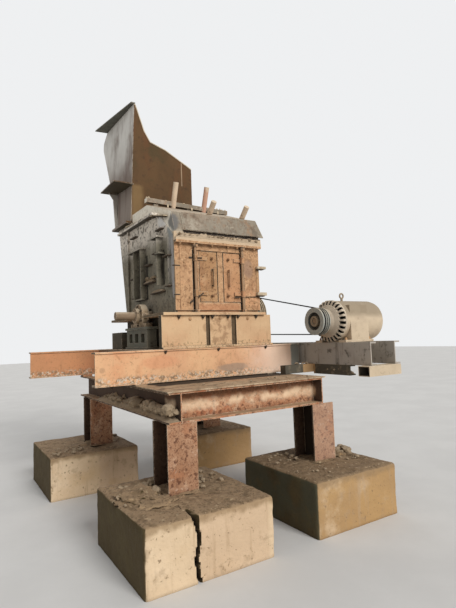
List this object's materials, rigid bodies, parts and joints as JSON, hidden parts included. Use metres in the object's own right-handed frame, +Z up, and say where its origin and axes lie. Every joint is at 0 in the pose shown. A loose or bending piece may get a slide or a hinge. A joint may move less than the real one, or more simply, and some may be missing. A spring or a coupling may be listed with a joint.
{
  "type": "impact crusher",
  "caption": "Horizontal shaft impact crusher on a steel stand and concrete plinths, with belt drive motor, inspection doors and sheet steel feed chute.",
  "frame": {"origin": "on the floor, below the middle of the plant's bounding box", "axes": "+Z up; the inspection doors face -Y, the chute stands towards +Y and the motor towards +X"},
  "size_m": [3.06, 3.2, 4.3915],
  "materials": {
    "concrete": "rough, dusty, cracked",
    "rusty_steel": "rusted, with pale dust",
    "dusty_steel": "matte, covered with tan stone dust",
    "dusty_casting": "cast, covered with cream dust",
    "dark_steel": "worn dark grey paint, dusty",
    "worn_steel": "dull, handled steel",
    "chute_sheet": "brown rust with grey wear",
    "rubber": "dusty"
  },
  "bodies": {
    "plant": {"plinth_front_left": "concrete", "plinth_front_right": "concrete", "plinth_rear_left": "concrete", "plinth_rear_right": "concrete", "post_front_left": "rusty_steel", "post_front_right": "rusty_steel", "post_rear_left": "rusty_steel", "post_rear_right": "rusty_steel", "lower_beam_left": "rusty_steel", "lower_beam_right": "rusty_steel", "lower_beam_front": "rusty_steel", "lower_beam_rear": "rusty_steel", "deck_plate": "dusty_steel", "upper_beam_front": "dusty_steel", "upper_beam_rear": "dusty_steel", "upper_beam_left": "dusty_steel", "upper_beam_right": "dusty_steel", "motor_beam_left": "dark_steel", "motor_beam_right": "dark_steel", "motor_frame_crosspieces": "dark_steel", "crusher_base": "dusty_steel", "side_wall_left": "dark_steel", "side_wall_right": "dark_steel", "front_wall": "dusty_steel", "rear_wall": "dark_steel", "hood": "dusty_steel", "hinge_rods": "dark_steel", "adjusting_rods": "dusty_casting", "impact_aprons": "dark_steel", "pedestal_left": "dark_steel", "pedestal_right": "dark_steel", "bearing_left": "dusty_casting", "bearing_right": "dusty_casting", "motor_body": "dusty_casting", "motor_end_shield": "dusty_casting", "drive_belt": "rubber", "feed_chute": "chute_sheet", "chute_lid": "chute_sheet"},
    "rotor_set": {"rotor_shaft": "worn_steel", "rotor": "dark_steel", "driven_pulley": "dusty_casting"},
    "motor_rotor": {"motor_shaft": "worn_steel", "motor_pulley": "dusty_casting"},
    "left_door": {"door_left": "dusty_steel"},
    "right_door": {"door_right": "dusty_steel"}
  },
  "joints": [
    {"name": "rotor_spin", "type": "hinge", "parent": "plant", "child": "rotor_set", "pos_m": [0, 0.15, 1.81], "axis": [1, 0, 0], "continuous": true},
    {"name": "motor_spin", "type": "hinge", "parent": "plant", "child": "motor_rotor", "pos_m": [0.8, -0.96, 1.685], "axis": [1, 0, 0], "continuous": true},
    {"name": "door_left_hinge", "type": "hinge", "parent": "plant", "child": "left_door", "pos_m": [-0.32, -0.476, 2.15], "axis": [0, 0, -1], "range_deg": [0, 110]},
    {"name": "door_right_hinge", "type": "hinge", "parent": "plant", "child": "right_door", "pos_m": [0.218, -0.476, 2.15], "axis": [0, 0, 1], "range_deg": [0, 110]}
  ],
  "couplings": [
    {"joint": "motor_spin", "follows": "rotor_spin", "ratio": 1.7869}
  ]
}
